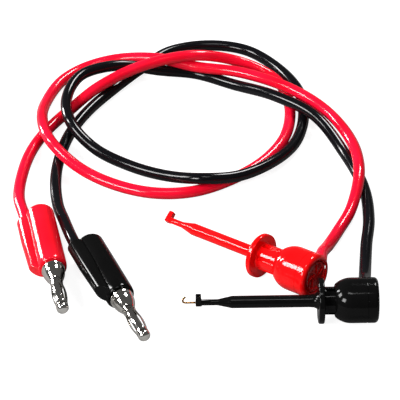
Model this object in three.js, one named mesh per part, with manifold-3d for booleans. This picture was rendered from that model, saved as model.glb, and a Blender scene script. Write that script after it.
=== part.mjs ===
// Pair of bench test leads, one red and one black, lying loosely coiled on a bench.
// Each lead is a cord with a stacking 4 mm banana plug at one end and a spring-loaded hook clip
// at the other. Millimetres, +X right, +Y away, +Z up, origin on the bench under the middle of
// the plugs and clips.
import * as THREE from "three";
import { mergeVertices } from "three/addons/utils/BufferGeometryUtils.js";
import Module from "manifold-3d";

const wasm = await Module();
wasm.setup();

// ---------------------------------------------------------------- driving dimensions
const GAP = 0.3; // air left between pieces that touch
const CORD_RADIUS = 1.83; // 3.66 mm jacket
const CORD_STEPS = 78;
const CORD_SIDES = 8;

const PLUG = {
  length: 46.8, // rear face to pin tip
  shellLength: 27,
  barrelRadius: 4.4,
  sideRadius: 2.8, // cable barrel moulded beside the main barrel
  sideFrontRadius: 2.15, // it narrows over its front half
  sideTaperStart: 11,
  sideOffset: 4.8,
  sideStart: 1.4,
  sideCutback: 4.2, // the cable barrel's front is cut off aslant, this far back on its outer side
  rimRound: 1.2,
  mainBore: 2.65,
  cableBore: 2.12,
  cableBoreEnd: 18.4,
  passageStart: 13.6, // opening between the two bores, round the solder tab
  passageHalf: 1.3,
  sleeveRadius: 2.4,
  socketRadius: 2.05, // takes a 4 mm pin
  socketDepth: 16.5,
  sleeveStart: 0.8,
  collarRadius: 3.55,
  collarEnd: 33.2,
  pinSeat: 3.6, // how far the pin goes into the contact
  pinRadius: 1.95,
  coreRadius: 1.25,
  buttonRound: 1.3,
  cageStart: 34.5,
  cageEnd: 44.6,
  cageRadius: 1.85,
  cageBulge: 2.25,
  cageWall: 0.32,
  cageRing: 1, // length of the solid ring at each end
  slotHalf: 0.6, // half the gap between two leaves
  cupStart: 14,
  cupEnd: 18,
  cupRadius: 1.6,
  cupBore: 0.95,
  tabStart: 14.6, // tab from the solder cup to the contact
  tabEnd: 17.2,
  tabReach: 1.95,
  tabHalf: 0.9,
  conductorStart: 10.8,
  conductorEnd: 16.6,
  conductorRadius: 0.62,
};

const CLIP = {
  travel: 3.8, // plunger stroke
  noseRadius: 1.85,
  stemRadius: 0.92,
  jawFront: -35.8, // measured from the front face of the finger flange
  jawBack: -33.95,
  jawHalf: 0.9,
  jawHeight: 2.65,
  hookSlotHalf: 0.5,
  hookSlotDepth: 1.3,
  taperStart: -29.6,
  taperEnd: -25.2,
  flangeRadius: 6.8,
  flangeThickness: 1.75,
  neckRadius: 4.1,
  neckLength: 9.1,
  openNeck: 3.07, // neck showing when the plunger is pressed
  headRadius: 6.7,
  headLength: 12.7,
  domeLength: 4.8,
  neckBore: 4.4,
  bulkheadStart: 6.3,
  bulkheadEnd: 7.1,
  chamberRadius: 5.0,
  capStart: 11.7,
  capEnd: 12.5,
  capRadius: 4.7,
  cordAt: 9.2, // cord hole, from the front of the head
  cordHoleRadius: 2.45,
  wireRadius: 0.3,
  wireBore: 0.5,
  wireBoreEnd: -20,
  hookProud: 0.25, // how far the closed hook stands in front of the jaw
  rodRadius: 0.75,
  rodReach: 28, // contact rod's front end, in front of the head
  rodBack: 10.2,
  rodHeadRadius: 1.3,
  rodBore: 1.05,
  rodBoreStart: -24.2,
  springBore: 2.9,
  springSeat: 1.2,
  springRadius: 2.2,
  springWire: 0.3,
  springTurns: 6,
  fluteDepth: 0.7,
  fluteHalf: 0.75,
  conductorRadius: 0.5,
  conductorRoute: [[9.5, 3.5, 0.5], [9.45, 2.6, 0.35], [9.4, 1.75, 0.2]], // in the head's chamber
};

// Hook's bend, from its front end: into the bend, up in front of the jaw and back over it.
const HOOK_BEND = [[0.25, 0.15], [0, 0.75], [0.2, 1.45], [0.72, 2.1]];

// ---------------------------------------------------------------- materials
const COLOURS = {
  red: 0xe8142d,
  black: 0x0b0b0d,
};

function material(name, colour, roughness, metalness) {
  const made = new THREE.MeshStandardMaterial({ color: colour, roughness, metalness });
  made.name = name;
  return made;
}

const shellPlastic = (colour) => material(`${colour}_shell`, COLOURS[colour], 0.25, 0);
const cordJacket = (colour) => material(`${colour}_cord`, COLOURS[colour], 0.35, 0);
const nickel = () => material("nickel", 0xc9c7c0, 0.2, 1);
const hookMetal = () => material("hook_metal", 0xb98a4a, 0.3, 1);
const copper = () => material("copper", 0xb86b3c, 0.4, 1);
const springSteel = () => material("spring_steel", 0xa7a9ac, 0.3, 1);

// ---------------------------------------------------------------- solids
// Every solid is drawn along +X: x is the distance along the piece's axis.

function solid(geometry) {
  const bare = geometry.clone();
  bare.deleteAttribute("normal");
  bare.deleteAttribute("uv");
  const clean = mergeVertices(bare, 1e-3);
  const mesh = new wasm.Mesh({
    numProp: 3,
    vertProperties: new Float32Array(clean.attributes.position.array),
    triVerts: new Uint32Array(clean.index.array),
  });
  return new wasm.Manifold(mesh);
}

function geometryOf(manifold) {
  const mesh = manifold.getMesh();
  const geometry = new THREE.BufferGeometry();
  geometry.setAttribute("position", new THREE.BufferAttribute(new Float32Array(mesh.vertProperties), 3));
  geometry.setIndex(new THREE.BufferAttribute(new Uint32Array(mesh.triVerts), 1));
  return geometry;
}

// A body of revolution about the X axis from [x, radius] pairs: up the outside, back down the bore.
function turned(profile, segments = 28) {
  const points = profile.map(([x, radius]) => new THREE.Vector2(radius, x));
  const geometry = new THREE.LatheGeometry(points, segments);
  geometry.rotateZ(-Math.PI / 2);
  return geometry;
}

function rodGeometry(x0, x1, radius, segments = 20) {
  return turned([[x0, 0], [x0, radius], [x1, radius], [x1, 0]], segments);
}

const rod = (x0, x1, radius, segments) => solid(rodGeometry(x0, x1, radius, segments));

function block(x0, x1, y0, y1, z0, z1) {
  const geometry = new THREE.BoxGeometry(x1 - x0, y1 - y0, z1 - z0);
  geometry.translate((x0 + x1) / 2, (y0 + y1) / 2, (z0 + z1) / 2);
  return solid(geometry);
}

// An arc as [x, radius] pairs about a centre, angles in degrees from +X towards the outside.
function arc(x, radius, size, fromAngle, toAngle, steps) {
  return Array.from({ length: steps + 1 }, (_, k) => {
    const angle = THREE.MathUtils.degToRad(fromAngle + ((toAngle - fromAngle) * k) / steps);
    return [x + size * Math.cos(angle), radius + size * Math.sin(angle)];
  });
}

// A round tube of flat facets along a curve.
function tube(curve, radius, steps, sides) {
  const section = new THREE.Shape(
    Array.from({ length: sides }, (_, k) => {
      const angle = (2 * Math.PI * k) / sides;
      return new THREE.Vector2(radius * Math.cos(angle), radius * Math.sin(angle));
    }),
  );
  return new THREE.ExtrudeGeometry(section, { steps, extrudePath: curve });
}

const smoothCurve = (points) =>
  new THREE.CatmullRomCurve3(points.map((point) => new THREE.Vector3(...point)), false, "centripetal");

function piece(name, geometry, finish) {
  const mesh = new THREE.Mesh(geometry, finish);
  mesh.name = name;
  return mesh;
}

// ---------------------------------------------------------------- stacking banana plug
// Origin at the middle of the rear face, +X towards the pin, cable barrel on the -Y side.

function plugShell() {
  const { shellLength, barrelRadius, rimRound, sideRadius, sideOffset, sideStart, sideCutback } = PLUG;
  const barrel = solid(
    turned([
      [0, 0],
      ...arc(rimRound, barrelRadius - rimRound, rimRound, 180, 90, 3),
      [shellLength - 0.6, barrelRadius],
      [shellLength, barrelRadius - 0.25],
      [shellLength, 0],
    ], 32),
  );
  const slant = block(0, 20, -20, 20, -5, 5)
    .rotate(0, 0, -45)
    .translate(shellLength - sideCutback, -sideOffset - sideRadius, 0);
  const cableBarrel = solid(
    turned([
      [sideStart, 0],
      [sideStart, sideRadius - 0.25],
      [sideStart + 0.25, sideRadius],
      [PLUG.sideTaperStart, sideRadius],
      [shellLength - 0.2, PLUG.sideFrontRadius],
      [shellLength - 0.2, 0],
    ], 28),
  )
    .translate(0, -sideOffset, 0)
    .subtract(slant);
  const { passageStart, passageHalf, cableBoreEnd } = PLUG;
  const passage = block(passageStart, cableBoreEnd, -sideOffset, 0, -passageHalf, passageHalf);
  return barrel
    .add(cableBarrel)
    .subtract(rod(-1, shellLength + 1, PLUG.mainBore, 28))
    .subtract(rod(-1, cableBoreEnd, PLUG.cableBore, 24).translate(0, -sideOffset, 0))
    .subtract(passage);
}

// Turned brass contact: rear socket, body and the domed collar that closes the shell's front.
function plugContact() {
  const collarStart = PLUG.shellLength + GAP;
  const seat = PLUG.coreRadius + GAP;
  return turned([
    [PLUG.sleeveStart, PLUG.socketRadius],
    [PLUG.sleeveStart, PLUG.sleeveRadius],
    [collarStart, PLUG.sleeveRadius],
    [collarStart, PLUG.collarRadius],
    [collarStart + 1.0, PLUG.collarRadius],
    [collarStart + 1.4, PLUG.collarRadius - 0.2],
    [collarStart + 2.8, PLUG.collarRadius - 0.35],
    [collarStart + 4.0, PLUG.collarRadius - 0.75],
    [collarStart + 5.1, PLUG.collarRadius - 1.2],
    [PLUG.collarEnd, PLUG.collarRadius - 1.5],
    [PLUG.collarEnd, seat],
    [PLUG.collarEnd - PLUG.pinSeat - GAP, seat],
    [PLUG.collarEnd - PLUG.pinSeat - GAP, 0],
    [PLUG.socketDepth, 0],
    [PLUG.socketDepth, PLUG.socketRadius],
    [PLUG.sleeveStart, PLUG.socketRadius],
  ], 24);
}

// Solid pin with a shoulder behind the spring cage and a button in front of it.
function plugPin() {
  const shoulder = PLUG.collarEnd + GAP;
  const button = PLUG.cageEnd + GAP;
  return turned([
    [PLUG.collarEnd - PLUG.pinSeat, 0],
    [PLUG.collarEnd - PLUG.pinSeat, PLUG.coreRadius],
    [shoulder, PLUG.coreRadius],
    [shoulder, PLUG.pinRadius],
    [PLUG.cageStart - GAP, PLUG.pinRadius],
    [PLUG.cageStart - GAP, PLUG.coreRadius],
    [button, PLUG.coreRadius],
    [button, PLUG.cageRadius],
    ...arc(PLUG.length - PLUG.buttonRound, PLUG.cageRadius - PLUG.buttonRound, PLUG.buttonRound, 80, 0, 3),
    [PLUG.length, 0],
  ], 24);
}

// Spring cage of four bowed leaves between two rings, loose on the pin.
function plugCage() {
  const { cageStart, cageEnd, cageRadius, cageBulge, cageWall, cageRing, slotHalf } = PLUG;
  const bowLength = cageEnd - cageStart - 2 * cageRing;
  const bow = Array.from({ length: 7 }, (_, k) => [
    cageStart + cageRing + (bowLength * k) / 6,
    cageRadius + (cageBulge - cageRadius) * Math.sin((Math.PI * k) / 6),
  ]);
  const outside = [[cageStart, cageRadius], ...bow, [cageEnd, cageRadius]];
  const inside = outside.map(([x, radius]) => [x, radius - cageWall]).reverse();
  let cage = solid(turned([...outside, ...inside, outside[0]], 16));
  for (const quarter of [0, 90]) {
    const slot = block(cageStart + cageRing + 0.1, cageEnd - cageRing - 0.1, -slotHalf, slotHalf, -3, 3);
    cage = cage.subtract(slot.rotate(45 + quarter, 0, 0));
  }
  return cage;
}

// cageTurn is how far the spring cage has been turned on the pin, in degrees.
function plug(colour, cageTurn) {
  const side = new THREE.Group();
  side.position.set(0, -PLUG.sideOffset, 0);
  const cup = rod(PLUG.cupStart, PLUG.cupEnd, PLUG.cupRadius, 20)
    .add(block(PLUG.tabStart, PLUG.tabEnd, 0, PLUG.tabReach, -PLUG.tabHalf, PLUG.tabHalf))
    .subtract(rod(PLUG.cupStart - 1, PLUG.cupEnd - 1, PLUG.cupBore, 16));
  const conductor = rodGeometry(PLUG.conductorStart, PLUG.conductorEnd, PLUG.conductorRadius, 12);
  side.add(
    piece(`${colour}_plug_solder_cup`, geometryOf(cup), nickel()),
    piece(`${colour}_plug_conductor`, conductor, copper()),
  );
  const cage = piece(`${colour}_plug_cage`, geometryOf(plugCage()), nickel());
  cage.rotation.x = THREE.MathUtils.degToRad(cageTurn);
  const group = new THREE.Group();
  group.add(
    piece(`${colour}_plug_shell`, geometryOf(plugShell()), shellPlastic(colour)),
    piece(`${colour}_plug_contact`, plugContact(), nickel()),
    piece(`${colour}_plug_pin`, plugPin(), nickel()),
    cage,
    side,
  );
  return group;
}

// ---------------------------------------------------------------- spring-loaded hook clip
// Origin at the front face of the finger flange, +X towards the head, jaw standing up along +Z,
// cord leaving the head along +Y. headX is where the head's front face stands.

// Nose, finger flange and guide neck are one moulding that slides on the contact rod.
function clipBarrel() {
  const { noseRadius, stemRadius, flangeRadius, flangeThickness, neckRadius, neckLength } = CLIP;
  const outside = turned([
    [CLIP.jawFront, 0],
    [CLIP.jawFront, stemRadius],
    [CLIP.taperStart, stemRadius],
    [CLIP.taperEnd, noseRadius],
    [-1.9, noseRadius],
    [0, 2.7],
    [0, flangeRadius - 0.3],
    [0.3, flangeRadius],
    [flangeThickness - 0.3, flangeRadius],
    [flangeThickness, flangeRadius - 0.3],
    [flangeThickness, neckRadius],
    [flangeThickness + neckLength, neckRadius],
    [flangeThickness + neckLength, 0],
  ], 28);
  const { jawFront, jawBack, jawHalf, jawHeight, hookSlotHalf, fluteHalf } = CLIP;
  const jaw = block(jawFront, jawBack, -jawHalf, jawHalf, -stemRadius, jawHeight);
  const slotBack = jawFront + CLIP.hookSlotDepth;
  const hookSlot = block(jawFront - 1, slotBack, -hookSlotHalf, hookSlotHalf, 0, jawHeight + 1);
  let barrel = solid(outside)
    .add(jaw)
    .subtract(hookSlot)
    .subtract(rod(jawFront - 1, CLIP.wireBoreEnd, CLIP.wireBore, 16))
    .subtract(rod(CLIP.rodBoreStart, 3, CLIP.rodBore, 16))
    .subtract(rod(CLIP.springSeat, 12, CLIP.springBore, 20));
  for (let flute = 0; flute < 6; flute += 1) {
    const floor = neckRadius - CLIP.fluteDepth;
    const cut = block(flangeThickness + 0.4, 12, floor, neckRadius + 1, -fluteHalf, fluteHalf);
    barrel = barrel.subtract(cut.rotate(30 + 60 * flute, 0, 0));
  }
  return barrel;
}

// Hollow plunger head: bore for the neck, bulkhead, then the chamber where the cord is joined.
function clipHead(cordDirection) {
  const { headRadius, headLength, domeLength, neckBore, bulkheadStart, bulkheadEnd, chamberRadius } = CLIP;
  const domeRadius = domeLength / Math.sin(Math.PI / 4);
  const shell = solid(
    turned([
      [0, neckBore],
      ...arc(domeLength, headRadius - domeRadius, domeRadius, 135, 90, 4),
      [headLength - 1.2, headRadius],
      ...arc(headLength - 1.2, headRadius - 1.2, 1.2, 60, 0, 2),
      [headLength, chamberRadius],
      [bulkheadEnd, chamberRadius],
      [bulkheadEnd, CLIP.rodBore],
      [bulkheadStart, CLIP.rodBore],
      [bulkheadStart, neckBore],
      [0, neckBore],
    ], 32),
  );
  const hole = rodGeometry(-3.2, 3, CLIP.cordHoleRadius, 20);
  hole.applyQuaternion(
    new THREE.Quaternion().setFromUnitVectors(new THREE.Vector3(1, 0, 0), cordDirection),
  );
  hole.translate(CLIP.cordAt, headRadius, 0);
  return shell.subtract(solid(hole));
}

// Round end cap with a shallow ribbed recess.
function clipCap() {
  const { capStart, capEnd, capRadius } = CLIP;
  let cap = solid(
    turned([
      [capStart, 0],
      [capStart, capRadius],
      [capEnd, capRadius],
      [capEnd, capRadius - 0.8],
      [capEnd - 0.4, capRadius - 0.9],
      [capEnd - 0.4, 1.0],
      [capEnd, 0.9],
      [capEnd, 0],
    ], 28),
  );
  for (let rib = 0; rib < 6; rib += 1) {
    const spoke = block(capEnd - 0.5, capEnd - 0.05, 0.5, capRadius - 0.6, -0.25, 0.25);
    cap = cap.add(spoke.rotate(rib * 60, 0, 0));
  }
  return cap;
}

// A smooth curve stepped evenly from control point to control point, so that its steps crowd
// where the points do.
class BentWire extends THREE.CatmullRomCurve3 {
  getUtoTmapping(u) {
    return u;
  }
}

// Bent wire hook: straight through the nose, then up and back over the jaw.
function clipHook(headX, hookFront) {
  const start = headX - CLIP.rodReach - GAP;
  const bendStart = hookFront + 0.9;
  const straight = [0, 0.2, 0.4, 0.6, 0.8, 1].map((share) => [start + (bendStart - start) * share, 0, 0]);
  const bend = HOOK_BEND.map(([x, z]) => [hookFront + x, 0, z]);
  const points = [...straight, ...bend].map((point) => new THREE.Vector3(...point));
  return tube(new BentWire(points, false, "centripetal"), CLIP.wireRadius, 27, 6);
}

// A helix about the clip's axis.
class SpringCurve extends THREE.Curve {
  constructor(start, end) {
    super();
    this.start = start;
    this.end = end;
  }

  getPoint(t, target = new THREE.Vector3()) {
    const angle = 2 * Math.PI * CLIP.springTurns * t;
    const x = this.start + (this.end - this.start) * t;
    return target.set(x, CLIP.springRadius * Math.cos(angle), CLIP.springRadius * Math.sin(angle));
  }
}

// jawTurn turns the nose and hook about the clip's axis, in degrees; the head stays as it is.
function clip(colour, pressed, jawTurn, cordDirection) {
  const { travel, springWire, springSeat, rodReach, rodRadius, rodHeadRadius, rodBack } = CLIP;
  const headX = CLIP.flangeThickness + CLIP.openNeck + (pressed ? 0 : travel);
  const hookFront = CLIP.jawFront + CLIP.wireRadius - CLIP.hookProud - (pressed ? travel : 0);
  const springStart = springSeat + GAP + springWire;
  const springEnd = headX + CLIP.bulkheadStart - GAP - springWire;
  const rodShoulder = CLIP.bulkheadEnd + GAP;
  const contactRod = turned([
    [-rodReach, 0],
    [-rodReach, rodRadius],
    [rodShoulder, rodRadius],
    [rodShoulder, rodHeadRadius],
    [rodBack, rodHeadRadius],
    [rodBack, 0],
  ], 16);
  const conductor = tube(smoothCurve(CLIP.conductorRoute), CLIP.conductorRadius, 2, 8);
  const head = new THREE.Group();
  head.position.set(headX, 0, 0);
  head.add(
    piece(`${colour}_clip_head`, geometryOf(clipHead(cordDirection)), shellPlastic(colour)),
    piece(`${colour}_clip_end_cap`, geometryOf(clipCap()), shellPlastic(colour)),
    piece(`${colour}_clip_contact_rod`, contactRod, nickel()),
    piece(`${colour}_clip_conductor`, conductor, copper()),
  );
  const front = new THREE.Group();
  front.rotation.x = THREE.MathUtils.degToRad(jawTurn);
  front.add(
    piece(`${colour}_clip_barrel`, geometryOf(clipBarrel()), shellPlastic(colour)),
    piece(`${colour}_clip_hook`, clipHook(headX, hookFront), hookMetal()),
  );
  const coil = tube(new SpringCurve(springStart, springEnd), springWire, CLIP.springTurns * 8, 5);
  const group = new THREE.Group();
  group.add(front, piece(`${colour}_clip_spring`, coil, springSteel()), head);
  return group;
}

// ---------------------------------------------------------------- cords
// Routes of the cord's centre line, from inside the plug's cable barrel, over the bench and the
// other lead, to the joint chamber in the clip's head.
const CORD_ROUTES = {
  red: [
  [-49.6, 17.1, 2.8], [-51.9, 28.4, 2.8], [-54.4, 39.6, 2], [-54.1, 51.1, 1.9],
  [-51.9, 63.6, 1.9], [-47.4, 74.9, 1.9], [-40.8, 85.2, 2.2], [-31.1, 94.4, 5.4],
  [-16.5, 102, 8.6], [0.3, 106.3, 9.6], [15.2, 109, 5.2], [25.6, 105.2, 2.2],
  [30.1, 96.6, 1.9], [31.4, 84.2, 1.9], [29, 70.4, 1.9], [22.2, 58.4, 1.9],
  [12.1, 49, 1.9], [0.3, 42.8, 1.9], [-11.6, 41.8, 1.9], [-23.9, 45.5, 2.1],
  [-35.5, 51.8, 3.8], [-45.1, 62.2, 6.4], [-48.9, 76.3, 5.4], [-48.1, 91.2, 2.3],
  [-43.5, 103.1, 1.9], [-35.9, 110.4, 2.1], [-25.3, 112.2, 4.1], [-11.7, 109, 6.5],
  [0.6, 105.4, 5.7], [14.9, 101.8, 6], [29.7, 94, 5.9], [41.7, 82.6, 5.4],
  [49.8, 66.7, 5], [51.9, 48.2, 5.8], [48.8, 33.2, 2.7], [44.4, 23.2, 1.9],
  [40.9, 14.5, 3.1], [38.6, 7.1, 6.1], [37.8, 0.4, 8.4], [36.8, -2.5, 9.5],
  ],
  black: [
  [-31.8, 2.2, 6.1], [-36.2, 12.8, 6.1], [-39.4, 24.4, 4.3], [-42.2, 36.3, 2.1],
  [-43.4, 48.4, 1.9], [-42.6, 60.8, 1.9], [-39.8, 73.5, 1.9], [-34.5, 85.7, 1.9],
  [-26.6, 97.9, 1.9], [-17.2, 110.3, 1.9], [-7.9, 120.1, 1.9], [4.9, 123.5, 1.9],
  [17.2, 120.8, 1.9], [27.3, 110.9, 1.9], [34.5, 97, 1.9], [35.7, 82, 1.9],
  [32.3, 67.6, 2], [24.7, 55.8, 3.4], [13.8, 46.8, 4.8], [3, 44.2, 5.8],
  [-8.4, 49, 3.2], [-20.6, 56.2, 1.9], [-31.8, 64, 2.9], [-39.5, 73.7, 5.8],
  [-41.3, 87.7, 6.3], [-36.7, 99, 7.1], [-24.8, 104.3, 7], [-11.5, 106.9, 3.2],
  [0.6, 106.8, 1.9], [13.4, 99.7, 2.4], [26.5, 89.3, 5.3], [39.3, 77.6, 5.5],
  [48, 62.3, 2.3], [53.3, 44.6, 1.9], [54, 28.5, 2], [52.6, 16.6, 1.9],
  [51.7, 6.2, 2.5], [51, -2.1, 4.2], [50.3, -8.2, 6.6], [50.4, -11.2, 7.5],
  ],
};

function cord(colour) {
  const geometry = tube(smoothCurve(CORD_ROUTES[colour]), CORD_RADIUS, CORD_STEPS, CORD_SIDES);
  return piece(`${colour}_cord`, geometry, cordJacket(colour));
}

// ---------------------------------------------------------------- placing
// heading turns about +Z, rise lifts the +X end, roll turns about the piece's own axis. Degrees.
function place(group, x, y, z, heading, rise, roll) {
  const angles = [roll, -rise, heading].map(THREE.MathUtils.degToRad);
  group.position.set(x, y, z);
  group.rotation.set(...angles, "ZYX");
  return group;
}

const direction = (x, y, z) => new THREE.Vector3(x, y, z).normalize();

const leads = new THREE.Group();
leads.add(
  place(plug("red", 0), -47.3, 28.33, PLUG.barrelRadius, -78.5, 0, 19.5),
  place(plug("black", 45), -31.7, 13.57, PLUG.barrelRadius, -67.3, 0, -20.7),
  place(clip("red", false, -60, direction(-0.36, 0.89, -0.29)), 19.57, 5.57, 6.75, -38.5, 6.2, 0),
  place(clip("black", true, 0, direction(0, 0.96, -0.29)), 36.49, -15.79, CLIP.flangeRadius, 1.3, 0, 0),
  cord("red"),
  cord("black"),
);

export default leads;
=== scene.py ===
from math import cos, pi, radians, sin

import bmesh
import bpy
from mathutils import Euler, Matrix, Vector


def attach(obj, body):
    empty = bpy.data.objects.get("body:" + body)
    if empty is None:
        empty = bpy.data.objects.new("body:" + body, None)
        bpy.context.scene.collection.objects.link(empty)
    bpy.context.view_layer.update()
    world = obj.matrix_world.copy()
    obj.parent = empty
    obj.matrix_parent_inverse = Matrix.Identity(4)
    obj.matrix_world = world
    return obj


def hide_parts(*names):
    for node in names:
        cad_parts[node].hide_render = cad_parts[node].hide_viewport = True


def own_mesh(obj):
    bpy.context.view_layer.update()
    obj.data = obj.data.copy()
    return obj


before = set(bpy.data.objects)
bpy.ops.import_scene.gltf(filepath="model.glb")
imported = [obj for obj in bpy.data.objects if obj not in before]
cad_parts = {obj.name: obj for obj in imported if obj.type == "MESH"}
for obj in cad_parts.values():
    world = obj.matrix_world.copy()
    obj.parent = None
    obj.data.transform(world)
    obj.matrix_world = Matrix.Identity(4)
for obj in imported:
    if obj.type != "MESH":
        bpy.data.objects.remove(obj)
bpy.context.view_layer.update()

# ---------------------------------------------------------------- cords
# Soft PVC jackets, 3.66 mm across, over fine stranded copper. Each is one length from the
# plug's cable barrel to the joint in the clip's head, and rests on the bench and on the other.
CORD_RADIUS = 1.83
CORD_ROUTES = {
    "red": [
        (-49.6, 17.1, 2.8), (-51.9, 28.4, 2.8), (-54.4, 39.6, 2), (-54.1, 51.1, 1.9),
        (-51.9, 63.6, 1.9), (-47.4, 74.9, 1.9), (-40.8, 85.2, 2.2), (-31.1, 94.4, 5.4),
        (-16.5, 102, 8.6), (0.3, 106.3, 9.6), (15.2, 109, 5.2), (25.6, 105.2, 2.2),
        (30.1, 96.6, 1.9), (31.4, 84.2, 1.9), (29, 70.4, 1.9), (22.2, 58.4, 1.9),
        (12.1, 49, 1.9), (0.3, 42.8, 1.9), (-11.6, 41.8, 1.9), (-23.9, 45.5, 2.1),
        (-35.5, 51.8, 3.8), (-45.1, 62.2, 6.4), (-48.9, 76.3, 5.4), (-48.1, 91.2, 2.3),
        (-43.5, 103.1, 1.9), (-35.9, 110.4, 2.1), (-25.3, 112.2, 4.1), (-11.7, 109, 6.5),
        (0.6, 105.4, 5.7), (14.9, 101.8, 6), (29.7, 94, 5.9), (41.7, 82.6, 5.4),
        (49.8, 66.7, 5), (51.9, 48.2, 5.8), (48.8, 33.2, 2.7), (44.4, 23.2, 1.9),
        (40.9, 14.5, 3.1), (38.6, 7.1, 6.1), (37.8, 0.4, 8.4), (36.8, -2.5, 9.5),
    ],
    "black": [
        (-31.8, 2.2, 6.1), (-36.2, 12.8, 6.1), (-39.4, 24.4, 4.3), (-42.2, 36.3, 2.1),
        (-43.4, 48.4, 1.9), (-42.6, 60.8, 1.9), (-39.8, 73.5, 1.9), (-34.5, 85.7, 1.9),
        (-26.6, 97.9, 1.9), (-17.2, 110.3, 1.9), (-7.9, 120.1, 1.9), (4.9, 123.5, 1.9),
        (17.2, 120.8, 1.9), (27.3, 110.9, 1.9), (34.5, 97, 1.9), (35.7, 82, 1.9),
        (32.3, 67.6, 2), (24.7, 55.8, 3.4), (13.8, 46.8, 4.8), (3, 44.2, 5.8),
        (-8.4, 49, 3.2), (-20.6, 56.2, 1.9), (-31.8, 64, 2.9), (-39.5, 73.7, 5.8),
        (-41.3, 87.7, 6.3), (-36.7, 99, 7.1), (-24.8, 104.3, 7), (-11.5, 106.9, 3.2),
        (0.6, 106.8, 1.9), (13.4, 99.7, 2.4), (26.5, 89.3, 5.3), (39.3, 77.6, 5.5),
        (48, 62.3, 2.3), (53.3, 44.6, 1.9), (54, 28.5, 2), (52.6, 16.6, 1.9),
        (51.7, 6.2, 2.5), (51, -2.1, 4.2), (50.3, -8.2, 6.6), (50.4, -11.2, 7.5),
    ],
}
STEPS_PER_SPAN = 12


def eased_route(points, steps):
    """The centripetal spline through points, with its ends run straight on."""
    knots = [Vector(p) for p in points]
    knots = [2 * knots[0] - knots[1], *knots, 2 * knots[-1] - knots[-2]]
    route = []
    for p0, p1, p2, p3 in zip(knots, knots[1:], knots[2:], knots[3:]):
        d1, d2, d3 = ((b - a).length ** 0.5 for a, b in ((p0, p1), (p1, p2), (p2, p3)))
        m1 = (p1 - p0) / d1 - (p2 - p0) / (d1 + d2) + (p2 - p1) / d2
        m2 = (p2 - p1) / d2 - (p3 - p1) / (d2 + d3) + (p3 - p2) / d3
        m1, m2 = m1 * d2, m2 * d2
        for k in range(steps):
            t = k / steps
            h1 = 2 * t**3 - 3 * t**2 + 1
            h2 = t**3 - 2 * t**2 + t
            route.append(h1 * p1 + h2 * m1 + (1 - h1) * p2 + (t**3 - t**2) * m2)
    route.append(knots[-2])
    return route


def surface_marks():
    """Slow colour drift, fine mottling and a soft ripple, all over a moulded surface."""
    group = bpy.data.node_groups.new("surface_marks", "ShaderNodeTree")
    for name, low, high in (("Drift Size", 1.0, 5000.0), ("Grain Size", 1.0, 20000.0)):
        socket = group.interface.new_socket(name, in_out="INPUT", socket_type="NodeSocketFloat")
        socket.min_value, socket.max_value = low, high
    for name in ("Drift", "Mottle", "Height"):
        group.interface.new_socket(name, in_out="OUTPUT", socket_type="NodeSocketFloat")
    nodes, links = group.nodes, group.links
    inputs = nodes.new("NodeGroupInput")
    outputs = nodes.new("NodeGroupOutput")
    place = nodes.new("ShaderNodeTexCoord")
    drift = nodes.new("ShaderNodeTexNoise")
    grain = nodes.new("ShaderNodeTexNoise")
    ripple = nodes.new("ShaderNodeTexNoise")
    drift.inputs["Detail"].default_value = 2.0
    grain.inputs["Detail"].default_value = 6.0
    grain.inputs["Roughness"].default_value = 0.65
    ripple.inputs["Detail"].default_value = 3.0
    for noise, size in ((drift, "Drift Size"), (ripple, "Drift Size"), (grain, "Grain Size")):
        links.new(place.outputs["Object"], noise.inputs["Vector"])
        links.new(inputs.outputs[size], noise.inputs["Scale"])
    blend = nodes.new("ShaderNodeMath")
    blend.operation = "MULTIPLY_ADD"
    blend.inputs[1].default_value = 0.15
    links.new(grain.outputs["Fac"], blend.inputs[0])
    links.new(ripple.outputs["Fac"], blend.inputs[2])
    links.new(drift.outputs["Fac"], outputs.inputs["Drift"])
    links.new(grain.outputs["Fac"], outputs.inputs["Mottle"])
    links.new(blend.outputs["Value"], outputs.inputs["Height"])
    return group


MARKS = surface_marks()


def marked_finish(name, deep, bright, sheen, drift, grain, ripple, metal=0.0, specular=0.5):
    """A surface that drifts from deep to bright colour, its roughness running over sheen."""
    finish = bpy.data.materials.new(name)
    finish.use_nodes = True
    nodes, links = finish.node_tree.nodes, finish.node_tree.links
    shader = nodes["Principled BSDF"]
    shader.inputs["Metallic"].default_value = metal
    shader.inputs["Specular IOR Level"].default_value = specular
    marks = nodes.new("ShaderNodeGroup")
    marks.node_tree = MARKS
    marks.inputs["Drift Size"].default_value = drift
    marks.inputs["Grain Size"].default_value = grain
    tint = nodes.new("ShaderNodeValToRGB")
    tint.color_ramp.elements[0].position = 0.3
    tint.color_ramp.elements[1].position = 0.7
    tint.color_ramp.elements[0].color = (*deep, 1.0)
    tint.color_ramp.elements[1].color = (*bright, 1.0)
    gloss = nodes.new("ShaderNodeMapRange")
    gloss.inputs["From Min"].default_value = 0.3
    gloss.inputs["From Max"].default_value = 0.7
    gloss.inputs["To Min"].default_value = sheen[0]
    gloss.inputs["To Max"].default_value = sheen[1]
    bump = nodes.new("ShaderNodeBump")
    bump.inputs["Strength"].default_value = ripple
    bump.inputs["Distance"].default_value = 0.0002
    links.new(marks.outputs["Drift"], tint.inputs["Fac"])
    links.new(tint.outputs["Color"], shader.inputs["Base Color"])
    links.new(marks.outputs["Mottle"], gloss.inputs["Value"])
    links.new(gloss.outputs["Result"], shader.inputs["Roughness"])
    links.new(marks.outputs["Height"], bump.inputs["Height"])
    links.new(bump.outputs["Normal"], shader.inputs["Normal"])
    return finish


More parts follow.
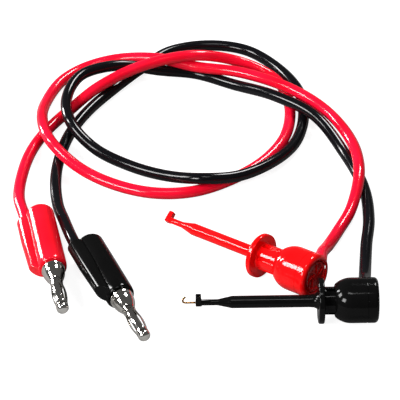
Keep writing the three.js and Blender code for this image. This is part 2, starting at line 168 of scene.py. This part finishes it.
CORD_GLOSS = {"sheen": (0.1, 0.16), "drift": 90, "grain": 1500, "ripple": 0.012}
cord_finishes = {
    "red": marked_finish(
        "red_cord_pvc", (0.8, 0.002, 0.018), (0.9, 0.006, 0.034), specular=0.35, **CORD_GLOSS
    ),
    "black": marked_finish(
        "black_cord_pvc", (0.003, 0.003, 0.004), (0.004, 0.004, 0.005), specular=0.25, **CORD_GLOSS
    ),
}

for colour, route in CORD_ROUTES.items():
    line = [point / 1000 for point in eased_route(route, STEPS_PER_SPAN)]
    curve = bpy.data.curves.new(f"{colour}_cord_jacket", "CURVE")
    curve.dimensions = "3D"
    curve.bevel_depth = CORD_RADIUS / 1000
    curve.bevel_resolution = 6
    curve.use_fill_caps = True
    spline = curve.splines.new("POLY")
    spline.points.add(len(line) - 1)
    for point, place in zip(spline.points, line):
        point.co = (*place, 1.0)
    spline.use_smooth = True
    curve.materials.append(cord_finishes[colour])
    cord = bpy.data.objects.new(f"{colour}_cord_jacket", curve)
    bpy.context.scene.collection.objects.link(cord)
    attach(cord, "leads")
    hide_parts(f"{colour}_cord")

# ---------------------------------------------------------------- plug shells
# Moulded two-barrel shell: the wide barrel holds the contact and is open at the back for
# another plug, the narrow one takes the cord. One glossy moulding, pressed over the contact.
SHELL_LENGTH = 27.0
BARREL_RADIUS = 4.4
BARREL_BORE = 2.65
SIDE_OFFSET = 4.8
SIDE_RADIUS = 2.8
SIDE_BORE = 2.12
SIDE_CUTBACK = 4.2
SIDE_START = 1.4
SIDE_TAPER_START = 11
SIDE_FRONT_RADIUS = 2.15
CABLE_BORE_END = 18.4
STRAND_SLOT_START = 13.6
STRAND_SLOT_HALF = 1.3
PLUG_PLACES = {
    "red": (-47.3, 28.33, BARREL_RADIUS, -78.5, 0, 19.5),
    "black": (-31.7, 13.57, BARREL_RADIUS, -67.3, 0, -20.7),
}


def laid(x, y, z, heading, rise, roll):
    """From a piece's own millimetres, along +X, to its place in metres."""
    turn = Euler((radians(roll), radians(-rise), radians(heading)), "XYZ").to_matrix().to_4x4()
    return Matrix.Scale(0.001, 4) @ Matrix.Translation((x, y, z)) @ turn


def arc(x, radius, size, start, end, steps):
    """Points on an arc in the (along, out) plane, angles in degrees from +X outwards."""
    angles = [radians(start + (end - start) * k / steps) for k in range(steps + 1)]
    return [(x + size * cos(a), radius + size * sin(a)) for a in angles]


def turned(profile, steps=72):
    """A body of revolution about X. A profile that ends where it starts is hollow."""
    bm = bmesh.new()
    points = [bm.verts.new((x, 0.0, max(radius, 0.0))) for x, radius in profile]
    edges = [bm.edges.new(pair) for pair in zip(points, points[1:])]
    bmesh.ops.spin(
        bm, geom=points + edges, cent=(0, 0, 0), axis=(1, 0, 0), angle=2 * pi, steps=steps, use_merge=True
    )
    bmesh.ops.remove_doubles(bm, verts=bm.verts, dist=1e-4)
    bmesh.ops.dissolve_degenerate(bm, edges=bm.edges, dist=1e-5)
    bmesh.ops.recalc_face_normals(bm, faces=bm.faces)
    return bm


def rod(x0, x1, radius, steps=48):
    return turned([(x0, 0), (x0, radius), (x1, radius), (x1, 0)], steps)


def block(low, high):
    bm = bmesh.new()
    bmesh.ops.create_cube(bm, size=1.0)
    size = Vector(high) - Vector(low)
    bmesh.ops.scale(bm, vec=size, verts=bm.verts)
    bmesh.ops.translate(bm, vec=(Vector(high) + Vector(low)) / 2, verts=bm.verts)
    return bm


def moved(bm, matrix):
    bmesh.ops.transform(bm, matrix=matrix, verts=bm.verts)
    return bm


def combined(body, tool, operation):
    """body with tool joined to it or cut from it. Both are used up."""
    parts = []
    for name, bm in (("body", body), ("tool", tool)):
        mesh = bpy.data.meshes.new(name)
        bm.to_mesh(mesh)
        bm.free()
        part = bpy.data.objects.new(name, mesh)
        bpy.context.scene.collection.objects.link(part)
        parts.append(part)
    cut = parts[0].modifiers.new("cut", "BOOLEAN")
    cut.object = parts[1]
    cut.operation = operation
    cut.solver = "EXACT"
    result = bmesh.new()
    result.from_object(parts[0], bpy.context.evaluated_depsgraph_get())
    for part in parts:
        mesh = part.data
        bpy.data.objects.remove(part)
        bpy.data.meshes.remove(mesh)
    bmesh.ops.remove_doubles(result, verts=result.verts, dist=1e-4)
    return result


def eased(bm, width, sharper_than=40, segments=2):
    """Rounds the edges that a moulding or a tool would leave rounded."""
    sharp = [
        edge for edge in bm.edges
        if edge.is_manifold and edge.calc_face_angle() > radians(sharper_than)
    ]
    bmesh.ops.bevel(
        bm, geom=sharp, offset=width, offset_type="OFFSET", affect="EDGES",
        segments=segments, profile=0.5, material=-1, clamp_overlap=True,
    )
    return bm


def finished(name, bm, place, finish, body, node):
    """The piece in its place: smooth, with flat faces kept flat, on its body."""
    bmesh.ops.transform(bm, matrix=place, verts=bm.verts)
    mesh = bpy.data.meshes.new(name)
    bm.to_mesh(mesh)
    bm.free()
    mesh.polygons.foreach_set("use_smooth", [True] * len(mesh.polygons))
    mesh.set_sharp_from_angle(angle=radians(35))
    mesh.materials.append(finish)
    piece = bpy.data.objects.new(name, mesh)
    bpy.context.scene.collection.objects.link(piece)
    weighted = piece.modifiers.new("flat_faces", "WEIGHTED_NORMAL")
    weighted.keep_sharp = True
    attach(piece, body)
    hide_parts(node)
    return piece


SHELL_GLOSS = {"sheen": (0.07, 0.14), "drift": 60, "grain": 1100, "ripple": 0.03}
shell_finishes = {
    "red": marked_finish(
        "red_moulded_shell", (0.78, 0.002, 0.01), (0.88, 0.006, 0.02), specular=0.3, **SHELL_GLOSS
    ),
    "black": marked_finish(
        "black_moulded_shell", (0.002, 0.002, 0.002), (0.004, 0.004, 0.004), specular=0.15, **SHELL_GLOSS
    ),
}

for colour, spot in PLUG_PLACES.items():
    barrel = turned([
        (0, 0),
        *arc(1.2, BARREL_RADIUS - 1.2, 1.2, 180, 90, 8),
        (24.0, BARREL_RADIUS),
        (25.6, BARREL_RADIUS - 0.03),
        (26.5, BARREL_RADIUS - 0.1),
        (26.85, BARREL_RADIUS - 0.2),
        (SHELL_LENGTH, BARREL_RADIUS - 0.36),
        (SHELL_LENGTH, 0),
    ], 96)
    side = turned([
        (SIDE_START, 0),
        *arc(SIDE_START + 0.4, SIDE_RADIUS - 0.4, 0.4, 180, 90, 4),
        (SIDE_TAPER_START, SIDE_RADIUS),
        (SHELL_LENGTH - 0.2, SIDE_FRONT_RADIUS),
        (SHELL_LENGTH - 0.2, 0),
    ], 72)
    slant = bmesh.ops.bisect_plane(
        side, geom=side.verts[:] + side.edges[:] + side.faces[:], dist=1e-5, clear_outer=True,
        plane_co=(SHELL_LENGTH - SIDE_CUTBACK, -SIDE_RADIUS, 0), plane_no=(1, -1, 0),
    )
    rim = [item for item in slant["geom_cut"] if isinstance(item, bmesh.types.BMEdge)]
    bmesh.ops.holes_fill(side, edges=rim)
    rim = [
        edge for edge in side.edges
        if edge.calc_face_angle(0) > radians(30) and edge.verts[0].co.x > 20
    ]
    bmesh.ops.bevel(
        side, geom=rim, offset=0.9, offset_type="OFFSET", affect="EDGES",
        segments=5, profile=0.5, material=-1, clamp_overlap=True,
    )
    moved(side, Matrix.Translation((0, -SIDE_OFFSET, 0)))
    shell = combined(barrel, side, "UNION")
    shell = combined(shell, rod(-1, SHELL_LENGTH + 1, BARREL_BORE, 64), "DIFFERENCE")
    cable_bore = moved(rod(-1, CABLE_BORE_END, SIDE_BORE, 48), Matrix.Translation((0, -SIDE_OFFSET, 0)))
    shell = combined(shell, cable_bore, "DIFFERENCE")
    strand_slot = block(
        (STRAND_SLOT_START, -SIDE_OFFSET, -STRAND_SLOT_HALF), (CABLE_BORE_END, 0, STRAND_SLOT_HALF)
    )
    shell = combined(shell, strand_slot, "DIFFERENCE")
    eased(shell, 0.16)
    finished(
        f"{colour}_plug_moulding", shell, laid(*spot), shell_finishes[colour],
        "leads", f"{colour}_plug_shell",
    )

# ---------------------------------------------------------------- plug contacts, pins and cages
# Turned brass, bright nickel plated: the contact with its rear socket and domed collar, the
# pin pressed into it, and a cage of four bowed spring leaves that can turn on the pin.
SLEEVE_START = 0.8
SLEEVE_RADIUS = 2.4
SOCKET_RADIUS = 2.05
SOCKET_END = 16.5
COLLAR_START = 27.3
COLLAR_RADIUS = 3.55
COLLAR_END = 33.2
PIN_SEAT = 29.3
PIN_SEAT_RADIUS = 1.55
PIN_RADIUS = 1.25
PLUG_LENGTH = 46.8
CAGE_START = 34.5
CAGE_END = 44.6
CAGE_RING = 1.85
CAGE_BULGE = 2.25
CAGE_WALL = 0.32
CAGE_TURNS = {"red": 0, "black": 45}
SLOT_HALF = 0.6
BOW_STEPS = 16

nickel_finish = marked_finish(
    "bright_nickel", (0.8, 0.77, 0.72), (0.95, 0.93, 0.89),
    sheen=(0.05, 0.11), drift=120, grain=2600, ripple=0.015, metal=1.0,
)

for colour, spot in PLUG_PLACES.items():
    contact = turned([
        (SLEEVE_START, SOCKET_RADIUS),
        (SLEEVE_START, SLEEVE_RADIUS),
        (COLLAR_START, SLEEVE_RADIUS),
        (COLLAR_START, 3.4),
        (27.45, COLLAR_RADIUS),
        (28.2, COLLAR_RADIUS),
        (28.35, 3.48),
        (28.42, 3.32),
        (28.55, 3.32),
        (28.9, 3.32),
        (29.6, 3.25),
        (30.3, 3.12),
        (31.0, 2.91),
        (31.6, 2.68),
        (32.2, 2.42),
        (32.8, 2.15),
        (33.1, 2.0),
        (COLLAR_END, 1.9),
        (COLLAR_END, PIN_SEAT_RADIUS),
        (PIN_SEAT, PIN_SEAT_RADIUS),
        (PIN_SEAT, 0),
        (SOCKET_END, 0),
        (SOCKET_END, SOCKET_RADIUS),
        (SLEEVE_START, SOCKET_RADIUS),
    ], 80)
    finished(
        f"{colour}_plug_collar", contact, laid(*spot), nickel_finish,
        "leads", f"{colour}_plug_contact",
    )

    pin = turned([
        (29.6, 0),
        (29.6, PIN_RADIUS),
        (33.5, PIN_RADIUS),
        (33.5, 1.85),
        (33.6, 1.95),
        (34.1, 1.95),
        (34.2, 1.85),
        (34.2, PIN_RADIUS),
        (44.9, PIN_RADIUS),
        (44.9, 1.75),
        (45.0, 1.85),
        *arc(45.5, 0.55, 1.3, 88, 0, 7),
        (PLUG_LENGTH, 0),
    ], 64)
    finished(
        f"{colour}_plug_core_pin", pin, laid(*spot), nickel_finish,
        "leads", f"{colour}_plug_pin",
    )

    bow_length = CAGE_END - CAGE_START - 2
    bow = []
    for k in range(BOW_STEPS + 1):
        swell = (CAGE_BULGE - CAGE_RING) * sin(pi * k / BOW_STEPS)
        bow.append((CAGE_START + 1 + bow_length * k / BOW_STEPS, CAGE_RING + swell))
    outside = [(CAGE_START, CAGE_RING), *bow, (CAGE_END, CAGE_RING)]
    inside = [(x, radius - CAGE_WALL) for x, radius in reversed(outside)]
    cage = turned([*outside, *inside, outside[0]], 64)
    for quarter in (45, 135):
        slot = block((CAGE_START + 1.1, -SLOT_HALF, -3), (CAGE_END - 1.1, SLOT_HALF, 3))
        cage = combined(cage, moved(slot, Matrix.Rotation(radians(quarter), 4, "X")), "DIFFERENCE")
    eased(cage, 0.04, 50, 1)
    cage_place = laid(*spot) @ Matrix.Rotation(radians(CAGE_TURNS[colour]), 4, "X")
    finished(
        f"{colour}_plug_spring_leaves", cage, cage_place, nickel_finish,
        f"{colour}_pin_cage", f"{colour}_plug_cage",
    )

# ---------------------------------------------------------------- clip noses
# Slim nose, finger flange and fluted guide neck in one moulding. It slides over the contact
# rod; the block at its tip is the jaw that the hook closes on.
JAW_TURNS = {"red": -60, "black": 0}
HEAD_AT = {"red": 8.62, "black": 4.82}
JAW_FRONT = -35.8
JAW_BACK = -33.95
JAW_TOP = 2.65
STEM_RADIUS = 0.92
NOSE_RADIUS = 1.85
FLANGE_RADIUS = 6.8
FLANGE_THICKNESS = 1.75
NECK_RADIUS = 4.1
NECK_END = 10.85
HOOK_BORE = 0.5
ROD_BORE = 1.05
SPRING_BORE = 2.9
STROKE = 3.8
CLIP_PLACES = {
    "red": (19.57, 5.57, 6.75, -38.5, 6.2, 0),
    "black": (36.49, -15.79, FLANGE_RADIUS, 1.3, 0, 0),
}

CLIP_GLOSS = {"sheen": (0.06, 0.12), "drift": 70, "grain": 1300, "ripple": 0.03}
clip_finishes = {
    "red": marked_finish(
        "red_clip_moulding", (0.8, 0.002, 0.003), (0.9, 0.005, 0.007), specular=0.3, **CLIP_GLOSS
    ),
    "black": marked_finish(
        "black_clip_moulding", (0.002, 0.002, 0.002), (0.004, 0.004, 0.004), specular=0.15, **CLIP_GLOSS
    ),
}

for colour, spot in CLIP_PLACES.items():
    nose = turned([
        (JAW_FRONT, 0),
        (JAW_FRONT, STEM_RADIUS - 0.1),
        (JAW_FRONT + 0.1, STEM_RADIUS),
        (-29.6, STEM_RADIUS),
        (-29.2, STEM_RADIUS + 0.04),
        (-25.8, NOSE_RADIUS - 0.16),
        (-25.2, NOSE_RADIUS),
        (-2.3, NOSE_RADIUS),
        (-1.2, 1.95),
        (-0.45, 2.3),
        (0, 2.7),
        *arc(0.45, FLANGE_RADIUS - 0.45, 0.45, 180, 90, 4),
        *arc(FLANGE_THICKNESS - 0.45, FLANGE_RADIUS - 0.45, 0.45, 90, 0, 4),
        (FLANGE_THICKNESS, NECK_RADIUS + 0.25),
        (FLANGE_THICKNESS + 0.25, NECK_RADIUS),
        (NECK_END - 0.2, NECK_RADIUS),
        (NECK_END, NECK_RADIUS - 0.2),
        (NECK_END, 0),
    ])
    jaw = block((JAW_FRONT, -0.9, -STEM_RADIUS), (JAW_BACK, 0.9, JAW_TOP))
    top_back = [v for v in jaw.verts if v.co.z > 0 and v.co.x > JAW_FRONT + 0.5]
    bmesh.ops.translate(jaw, vec=(-0.25, 0, 0), verts=top_back)
    eased(jaw, 0.18, 60, 3)
    nose = combined(nose, jaw, "UNION")
    nose = combined(nose, block((JAW_FRONT - 1, -0.5, 0), (JAW_FRONT + 1.3, 0.5, 4)), "DIFFERENCE")
    nose = combined(nose, rod(-40, -20, HOOK_BORE, 24), "DIFFERENCE")
    nose = combined(nose, rod(-24.2, 3, ROD_BORE, 32), "DIFFERENCE")
    nose = combined(nose, rod(1.2, 12, SPRING_BORE, 48), "DIFFERENCE")
    for sixth in range(6):
        flute = block((FLANGE_THICKNESS + 0.4, NECK_RADIUS - 0.7, -0.75), (12, NECK_RADIUS + 1, 0.75))
        turn = Matrix.Rotation(radians(30 + 60 * sixth), 4, "X")
        nose = combined(nose, moved(flute, turn), "DIFFERENCE")
    eased(nose, 0.07, 50, 2)
    nose_place = laid(*spot) @ Matrix.Rotation(radians(JAW_TURNS[colour]), 4, "X")
    finished(
        f"{colour}_clip_nose_moulding", nose, nose_place, clip_finishes[colour],
        f"{colour}_clip_nose", f"{colour}_clip_barrel",
    )

# ---------------------------------------------------------------- clip heads and end caps
# The plunger head that the palm pushes: a domed moulding that the neck slides into, with the
# cord going in through its side. A ribbed cap closes the back, a little below the rim.
HEAD_RADIUS = 6.7
HEAD_LENGTH = 12.7
DOME_LENGTH = 4.8
NECK_BORE = 4.4
BULKHEAD_FRONT = 6.3
BULKHEAD_BACK = 7.1
CORD_HOLE_RADIUS = 2.45
CORD_HOLES = {"red": (-0.36, 0.89, -0.29), "black": (0, 0.96, -0.29)}
CAP_START = 11.7
CAP_END = 12.5
CAP_RADIUS = 4.7

for colour, spot in CLIP_PLACES.items():
    dome_radius = DOME_LENGTH / sin(pi / 4)
    head = turned([
        (0, NECK_BORE),
        (0.1, HEAD_RADIUS - dome_radius * (1 - cos(pi / 4)) - 0.15),
        *arc(DOME_LENGTH, HEAD_RADIUS - dome_radius, dome_radius, 133, 90, 12),
        (9.35, HEAD_RADIUS),
        (9.4, HEAD_RADIUS - 0.1),
        (9.6, HEAD_RADIUS - 0.1),
        (9.65, HEAD_RADIUS),
        (HEAD_LENGTH - 1.2, HEAD_RADIUS),
        *arc(HEAD_LENGTH - 1.2, HEAD_RADIUS - 1.2, 1.2, 80, 0, 6),
        (HEAD_LENGTH, 5.1),
        (HEAD_LENGTH - 0.1, 5.0),
        (BULKHEAD_BACK, 5.0),
        (BULKHEAD_BACK, ROD_BORE),
        (BULKHEAD_FRONT, ROD_BORE),
        (BULKHEAD_FRONT, NECK_BORE),
        (0, NECK_BORE),
    ], 96)
    toward = Vector((1, 0, 0)).rotation_difference(Vector(CORD_HOLES[colour])).to_matrix().to_4x4()
    hole = moved(rod(-3.2, 3, CORD_HOLE_RADIUS, 48), Matrix.Translation((9.2, HEAD_RADIUS, 0)) @ toward)
    head = combined(head, hole, "DIFFERENCE")
    eased(head, 0.12, 45, 2)
    head_place = laid(*spot) @ Matrix.Translation((HEAD_AT[colour], 0, 0))
    finished(
        f"{colour}_clip_plunger_head", head, head_place, clip_finishes[colour],
        "leads", f"{colour}_clip_head",
    )

    cap = turned([
        (CAP_START, 0),
        (CAP_START, CAP_RADIUS),
        (CAP_END, CAP_RADIUS),
        (CAP_END, CAP_RADIUS - 0.7),
        (CAP_END - 0.4, CAP_RADIUS - 0.9),
        (CAP_END - 0.4, 1.0),
        (CAP_END, 0.9),
        (CAP_END, 0),
    ])
    for sixth in range(6):
        rib = block((CAP_END - 0.5, 0.5, -0.25), (CAP_END - 0.05, CAP_RADIUS - 0.6, 0.25))
        bmesh.ops.subdivide_edges(rib, edges=[e for e in rib.edges if e.calc_length() > 2], cuts=6)
        for corner in rib.verts:
            corner.co.z += 0.09 * corner.co.y**2 - 0.6
        cap = combined(cap, moved(rib, Matrix.Rotation(radians(60 * sixth), 4, "X")), "UNION")
    eased(cap, 0.05, 50, 1)
    finished(
        f"{colour}_clip_ribbed_cap", cap, head_place, clip_finishes[colour],
        "leads", f"{colour}_clip_end_cap",
    )

# ---------------------------------------------------------------- clip hooks
# Bronze wire, 0.6 mm across, brazed into the contact rod. It runs through the nose, and its
# end is bent up and back so that it pulls a wire against the jaw.
WIRE_RADIUS = 0.3
HOOK_FRONT = {"red": JAW_FRONT + 0.05, "black": JAW_FRONT + 0.05 - STROKE}


def wire(name, points, radius, sides):
    """A round wire along points, as a closed mesh."""
    curve = bpy.data.curves.new(name, "CURVE")
    curve.dimensions = "3D"
    curve.bevel_depth = radius
    curve.bevel_resolution = sides // 4
    curve.use_fill_caps = True
    spline = curve.splines.new("POLY")
    spline.points.add(len(points) - 1)
    for point, place in zip(spline.points, points):
        point.co = (*place, 1.0)
    path = bpy.data.objects.new(name, curve)
    bpy.context.scene.collection.objects.link(path)
    shaped = path.evaluated_get(bpy.context.evaluated_depsgraph_get())
    mesh = bpy.data.meshes.new_from_object(shaped)
    bm = bmesh.new()
    bm.from_mesh(mesh)
    bpy.data.objects.remove(path)
    bpy.data.curves.remove(curve)
    bpy.data.meshes.remove(mesh)
    bmesh.ops.remove_doubles(bm, verts=bm.verts, dist=1e-5)
    bmesh.ops.recalc_face_normals(bm, faces=bm.faces)
    return bm


hook_finish = marked_finish(
    "bronze_hook_wire", (0.42, 0.2, 0.06), (0.66, 0.37, 0.14),
    sheen=(0.14, 0.28), drift=400, grain=4000, ripple=0.05, metal=1.0,
)

for colour, spot in CLIP_PLACES.items():
    front = HOOK_FRONT[colour]
    bend = eased_route([
        (front + 2.4, 0, 0), (front + 0.8, 0, 0), (front + 0.25, 0, 0.15), (front, 0, 0.75),
        (front + 0.2, 0, 1.45), (front + 0.72, 0, 2.1),
    ], 6)
    straight = [Vector((HEAD_AT[colour] - 28.3, 0, 0)), Vector((front + 12, 0, 0))]
    hook = wire(f"{colour}_hook_path", straight + bend, WIRE_RADIUS, 16)
    hook_place = laid(*spot) @ Matrix.Rotation(radians(JAW_TURNS[colour]), 4, "X")
    finished(
        f"{colour}_clip_hook_wire", hook, hook_place, hook_finish,
        "leads", f"{colour}_clip_hook",
    )

# ---------------------------------------------------------------- clip springs
# Coil spring between the nose and the head's bulkhead. The red one shortens as its nose slides
# back. The black one is stored at its shortest and stays so.
SPRING_RADIUS = 2.2
SPRING_WIRE = 0.3
SPRING_SEAT = 1.8
SPRING_TURNS = 6
SPRING_GAP = 0.3
STEPS_PER_TURN = 24

steel_finish = marked_finish(
    "drawn_spring_steel", (0.3, 0.3, 0.31), (0.55, 0.55, 0.56),
    sheen=(0.18, 0.32), drift=300, grain=3000, ripple=0.05, metal=1.0,
)

for colour, spot in CLIP_PLACES.items():
    end = HEAD_AT[colour] + BULKHEAD_FRONT - SPRING_GAP - SPRING_WIRE
    coil = []
    for k in range(SPRING_TURNS * STEPS_PER_TURN + 1):
        turn = 2 * pi * k / STEPS_PER_TURN
        x = SPRING_SEAT + (end - SPRING_SEAT) * k / (SPRING_TURNS * STEPS_PER_TURN)
        coil.append((x, SPRING_RADIUS * cos(turn), SPRING_RADIUS * sin(turn)))
    spring = wire(f"{colour}_spring_path", coil, SPRING_WIRE, 12)
    piece = finished(
        f"{colour}_clip_coil_spring", spring, laid(*spot), steel_finish,
        "leads", f"{colour}_clip_spring",
    )
    if colour == "red":
        piece.modifiers.clear()
        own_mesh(piece)

# ---------------------------------------------------------------- hidden joints
# Inside, the CAD solids are right as they are: the contact rods and solder cups, nickel plated,
# and the bare strands of the conductor where they go into the solder.
copper_finish = marked_finish(
    "bare_copper_strands", (0.4, 0.12, 0.05), (0.62, 0.25, 0.11),
    sheen=(0.25, 0.4), drift=500, grain=5000, ripple=0.1, metal=1.0,
)
HIDDEN_FINISHES = {
    "clip_contact_rod": nickel_finish,
    "plug_solder_cup": nickel_finish,
    "plug_conductor": copper_finish,
    "clip_conductor": copper_finish,
}
for colour in PLUG_PLACES:
    for name, finish in HIDDEN_FINISHES.items():
        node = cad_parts[f"{colour}_{name}"]
        node.data.materials.clear()
        node.data.materials.append(finish)

# ---------------------------------------------------------------- bench, lights and camera
# A pale bench under soft studio light: three window panes on the left, a low panel behind them,
# an overhead strip, a pane behind on the right, and a dim white surround.
FLOOR_HALF = 3.0
EYE = {"target": (0.0020, 0.04074, 0.0), "distance": 0.75, "elevation": 38.0, "lens": 216.0}

bench = bmesh.new()
bmesh.ops.create_grid(bench, x_segments=1, y_segments=1, size=FLOOR_HALF)
bench_mesh = bpy.data.meshes.new("bench")
bench.to_mesh(bench_mesh)
bench.free()
bench_paint = bpy.data.materials.new("pale_bench")
bench_paint.use_nodes = True
paint_nodes, paint_links = bench_paint.node_tree.nodes, bench_paint.node_tree.links
paint = paint_nodes["Principled BSDF"]
paint.inputs["Roughness"].default_value = 0.9
paint.inputs["Specular IOR Level"].default_value = 0.0
paint.inputs["Emission Color"].default_value = (1.0, 1.0, 1.0, 1.0)
rays = paint_nodes.new("ShaderNodeLightPath")
tone = paint_nodes.new("ShaderNodeMix")
tone.data_type = "RGBA"
tone.inputs["A"].default_value = (0.22, 0.22, 0.22, 1.0)
tone.inputs["B"].default_value = (0.3, 0.3, 0.3, 1.0)
lift = paint_nodes.new("ShaderNodeMath")
lift.operation = "MULTIPLY"
lift.inputs[1].default_value = 0.9
paint_links.new(rays.outputs["Is Camera Ray"], tone.inputs["Factor"])
paint_links.new(tone.outputs["Result"], paint.inputs["Base Color"])
paint_links.new(rays.outputs["Is Camera Ray"], lift.inputs[0])
paint_links.new(lift.outputs["Value"], paint.inputs["Emission Strength"])
bench_mesh.materials.append(bench_paint)
bench_object = bpy.data.objects.new("bench", bench_mesh)
bpy.context.scene.collection.objects.link(bench_object)

surround = bpy.data.worlds.new("surround")
surround.use_nodes = True
surround.node_tree.nodes["Background"].inputs["Color"].default_value = (1.0, 1.0, 1.0, 1.0)
surround.node_tree.nodes["Background"].inputs["Strength"].default_value = 0.08
bpy.context.scene.world = surround
bpy.context.scene.view_settings.view_transform = "Standard"


def softbox(name, azimuth, elevation, distance, size, power):
    """A lamp aimed at the leads. azimuth is in degrees from straight away, towards the left."""
    around, up = radians(azimuth), radians(elevation)
    out = Vector((-sin(around) * cos(up), cos(around) * cos(up), sin(up)))
    lamp = bpy.data.lights.new(name, "AREA")
    lamp.shape = "RECTANGLE"
    lamp.size, lamp.size_y = size
    lamp.energy = power
    light = bpy.data.objects.new(name, lamp)
    light.location = Vector((0, 0.03, 0)) + distance * out
    light.rotation_euler = out.to_track_quat("Z", "Y").to_euler()
    bpy.context.scene.collection.objects.link(light)


softbox("back_left_panel", 50, 8, 1.2, (0.2, 0.3), 9.0)
softbox("overhead_strip", 168, 73, 1.1, (0.4, 0.12), 1.6)
softbox("left_back_pane", 68, 29, 1.2, (0.14, 0.36), 8.0)
softbox("left_pane", 99, 37, 1.2, (0.32, 0.32), 10.0)
softbox("left_front_pane", 139, 31, 1.2, (0.36, 0.32), 10.0)
softbox("back_right_pane", -25, 49, 1.2, (0.26, 0.34), 9.0)

camera_data = bpy.data.cameras.new("eye")
camera_data.lens = EYE["lens"]
camera_data.sensor_width = 36.0
camera_data.clip_start = 0.01
camera = bpy.data.objects.new("eye", camera_data)
tilt = radians(EYE["elevation"])
sight = Vector((0, -cos(tilt), sin(tilt)))
camera.location = Vector(EYE["target"]) + EYE["distance"] * sight
camera.rotation_euler = sight.to_track_quat("Z", "Y").to_euler()
bpy.context.scene.collection.objects.link(camera)
bpy.context.scene.camera = camera
